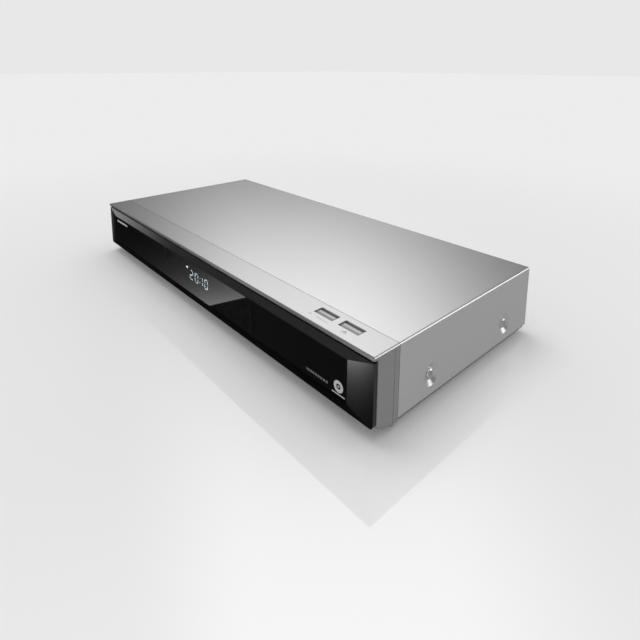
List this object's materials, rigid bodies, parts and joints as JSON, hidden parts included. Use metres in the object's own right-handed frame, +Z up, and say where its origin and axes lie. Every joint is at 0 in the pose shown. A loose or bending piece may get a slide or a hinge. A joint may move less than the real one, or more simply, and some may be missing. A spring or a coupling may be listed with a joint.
{
  "type": "disc and hard-disk video recorder",
  "caption": "Slim set-top video recorder with a loading disc tray, front flap, hard disk and rear sockets.",
  "frame": {"origin": "middle of the footprint, on the surface it stands on", "axes": "+X to the right seen from the front, +Y towards the rear sockets, +Z up; the fascia faces -Y"},
  "size_m": [0.43, 0.208, 0.059],
  "materials": {
    "bottom_chassis": "zinc-plated folded steel",
    "rear_panel": "zinc-plated steel with pressed slots",
    "top_cover": "silver-painted folded steel, satin",
    "front_bezel": "silver-painted plastic, satin",
    "front_fascia": "piano-black moulding",
    "display_window": "smoked black window",
    "display_module": "fluorescent display envelope",
    "front_board": "solder-masked circuit board",
    "key_board": "solder-masked circuit board",
    "tact_switches": "switch cases",
    "feet": "moulded feet",
    "foot_pads": "foam-rubber pads",
    "side_screws": "nickel-plated pan heads",
    "rear_screws": "black-oxide pan heads",
    "board_screws": "yellow-passivated pan heads",
    "drive_frame": "moulded loader frame",
    "drive_cover": "zinc-plated plate",
    "rubber_dampers": "grommets",
    "loading_motor": "motor can",
    "loading_belt": "square belt",
    "hdd_bracket": "zinc-plated bracket",
    "hdd_casting": "dark cast body",
    "hdd_lid": "pressed lid",
    "hdd_board": "circuit board",
    "main_board": "circuit board",
    "main_chips": "moulded chips",
    "heatsinks": "extruded fins",
    "tuner_modules": "tinned cans",
    "rf_sockets": "nickel-plated threaded sockets",
    "hdmi_socket": "plated shell",
    "lan_socket": "plated shell",
    "usb_sockets": "plated shells",
    "power_board": "paper-based circuit board",
    "transformer": "taped ferrite",
    "capacitors": "sleeved cans",
    "ac_inlet": "moulded inlet with pins",
    "fan_frame": "moulded fan frame",
    "card_board": "circuit board",
    "ci_slot_frame": "plated card cage",
    "sd_socket": "plated shell",
    "flat_cables": "flat flexible cables",
    "power_key": "silver hipped key",
    "open_close_key": "silver hipped key",
    "front_flap": "piano-black moulding",
    "flap_hinge_pins": "drawn wire",
    "tray_front": "piano-black moulding",
    "disc_tray": "moulded tray",
    "tray_pinion": "acetal gear",
    "pulley_gear": "acetal gear",
    "motor_pulley": "acetal pulley",
    "traverse_frame": "zinc-plated plate",
    "guide_rods": "ground steel",
    "spindle_motor": "motor can",
    "sled_motor": "motor can",
    "turntable": "moulded hub with rubber ring",
    "clamp_puck": "moulded clamp",
    "laser_sled": "die-cast sled",
    "lead_screw": "rolled screw",
    "cam_slider": "acetal slider",
    "fan_rotor": "moulded impeller"
  },
  "bodies": {
    "cabinet": {"bottom_chassis": "bottom_chassis", "rear_panel": "rear_panel", "top_cover": "top_cover", "front_bezel": "front_bezel", "front_fascia": "front_fascia", "display_window": "display_window", "display_module": "display_module", "front_board": "front_board", "key_board": "key_board", "tact_switches": "tact_switches", "feet": "feet", "foot_pads": "foot_pads", "side_screws": "side_screws", "rear_screws": "rear_screws", "board_screws": "board_screws", "drive_frame": "drive_frame", "drive_cover": "drive_cover", "rubber_dampers": "rubber_dampers", "loading_motor": "loading_motor", "loading_belt": "loading_belt", "hdd_bracket": "hdd_bracket", "hdd_casting": "hdd_casting", "hdd_lid": "hdd_lid", "hdd_board": "hdd_board", "main_board": "main_board", "main_chips": "main_chips", "heatsinks": "heatsinks", "tuner_modules": "tuner_modules", "rf_sockets": "rf_sockets", "hdmi_socket": "hdmi_socket", "lan_socket": "lan_socket", "usb_sockets": "usb_sockets", "power_board": "power_board", "transformer": "transformer", "capacitors": "capacitors", "ac_inlet": "ac_inlet", "fan_frame": "fan_frame", "card_board": "card_board", "ci_slot_frame": "ci_slot_frame", "sd_socket": "sd_socket", "flat_cables": "flat_cables"},
    "power_key": {"power_key": "power_key"},
    "open_close_key": {"open_close_key": "open_close_key"},
    "flap": {"front_flap": "front_flap", "flap_hinge_pins": "flap_hinge_pins"},
    "tray": {"tray_front": "tray_front", "disc_tray": "disc_tray"},
    "pinion": {"tray_pinion": "tray_pinion"},
    "idler": {"pulley_gear": "pulley_gear"},
    "motor_shaft": {"motor_pulley": "motor_pulley"},
    "laser_deck": {"traverse_frame": "traverse_frame", "guide_rods": "guide_rods", "spindle_motor": "spindle_motor", "sled_motor": "sled_motor"},
    "turntable": {"turntable": "turntable"},
    "clamp": {"clamp_puck": "clamp_puck"},
    "sled": {"laser_sled": "laser_sled"},
    "lead_screw": {"lead_screw": "lead_screw"},
    "cam": {"cam_slider": "cam_slider"},
    "fan": {"fan_rotor": "fan_rotor"}
  },
  "joints": [
    {"name": "power_key_press", "type": "slide", "parent": "cabinet", "child": "power_key", "axis": [0, 0, -1], "range_m": [0, 0.0008], "stiffness_N_per_m": 1500},
    {"name": "open_close_key_press", "type": "slide", "parent": "cabinet", "child": "open_close_key", "axis": [0, 0, -1], "range_m": [0, 0.0008], "stiffness_N_per_m": 1500},
    {"name": "flap_hinge", "type": "hinge", "parent": "cabinet", "child": "flap", "pos_m": [0.14285, -0.1029, 0.0186], "axis": [1, 0, 0], "range_deg": [0, 90]},
    {"name": "tray_slide", "type": "slide", "parent": "cabinet", "child": "tray", "axis": [0, -1, 0], "range_m": [0, 0.13]},
    {"name": "pinion_spin", "type": "hinge", "parent": "cabinet", "child": "pinion", "pos_m": [-0.1725, -0.08, 0.025], "axis": [0, 0, 1], "range_deg": [0, 712]},
    {"name": "idler_spin", "type": "hinge", "parent": "cabinet", "child": "idler", "pos_m": [-0.1525, -0.08, 0.022], "axis": [0, 0, 1], "range_deg": [-1658, 0]},
    {"name": "motor_spin", "type": "hinge", "parent": "cabinet", "child": "motor_shaft", "pos_m": [-0.124, -0.082, 0.017], "axis": [0, 0, 1], "range_deg": [-5520, 0]},
    {"name": "deck_lift", "type": "hinge", "parent": "cabinet", "child": "laser_deck", "pos_m": [-0.128, 0.03, 0.0255], "axis": [-1, 0, 0], "range_deg": [0, 6]},
    {"name": "cam_slide", "type": "slide", "parent": "cabinet", "child": "cam", "axis": [1, 0, 0], "range_m": [0, 0.0151]},
    {"name": "turntable_spin", "type": "hinge", "parent": "laser_deck", "child": "turntable", "pos_m": [-0.128, -0.03391, 0.0213], "axis": [0, -0.1045, 0.9945], "continuous": true},
    {"name": "sled_slide", "type": "slide", "parent": "laser_deck", "child": "sled", "axis": [0, 0.9945, 0.1045], "range_m": [0, 0.034]},
    {"name": "lead_screw_spin", "type": "hinge", "parent": "laser_deck", "child": "lead_screw", "pos_m": [-0.165, 0.00006, 0.02336], "axis": [0, 0.9945, 0.1045], "range_deg": [0, 4083]},
    {"name": "clamp_spin", "type": "hinge", "parent": "cabinet", "child": "clamp", "pos_m": [-0.128, -0.034, 0.04], "axis": [0, 0, 1], "continuous": true},
    {"name": "fan_spin", "type": "hinge", "parent": "cabinet", "child": "fan", "pos_m": [-0.033, 0.088, 0.034], "axis": [0, 1, 0], "continuous": true}
  ],
  "couplings": [
    {"joint": "pinion_spin", "follows": "tray_slide", "rad_per_m": 95.238},
    {"joint": "idler_spin", "follows": "tray_slide", "rad_per_m": -222.22},
    {"joint": "motor_spin", "follows": "tray_slide", "rad_per_m": -740.74},
    {"joint": "cam_slide", "follows": "deck_lift", "m_per_rad": 0.14324},
    {"joint": "lead_screw_spin", "follows": "sled_slide", "rad_per_m": 2094.4}
  ]
}
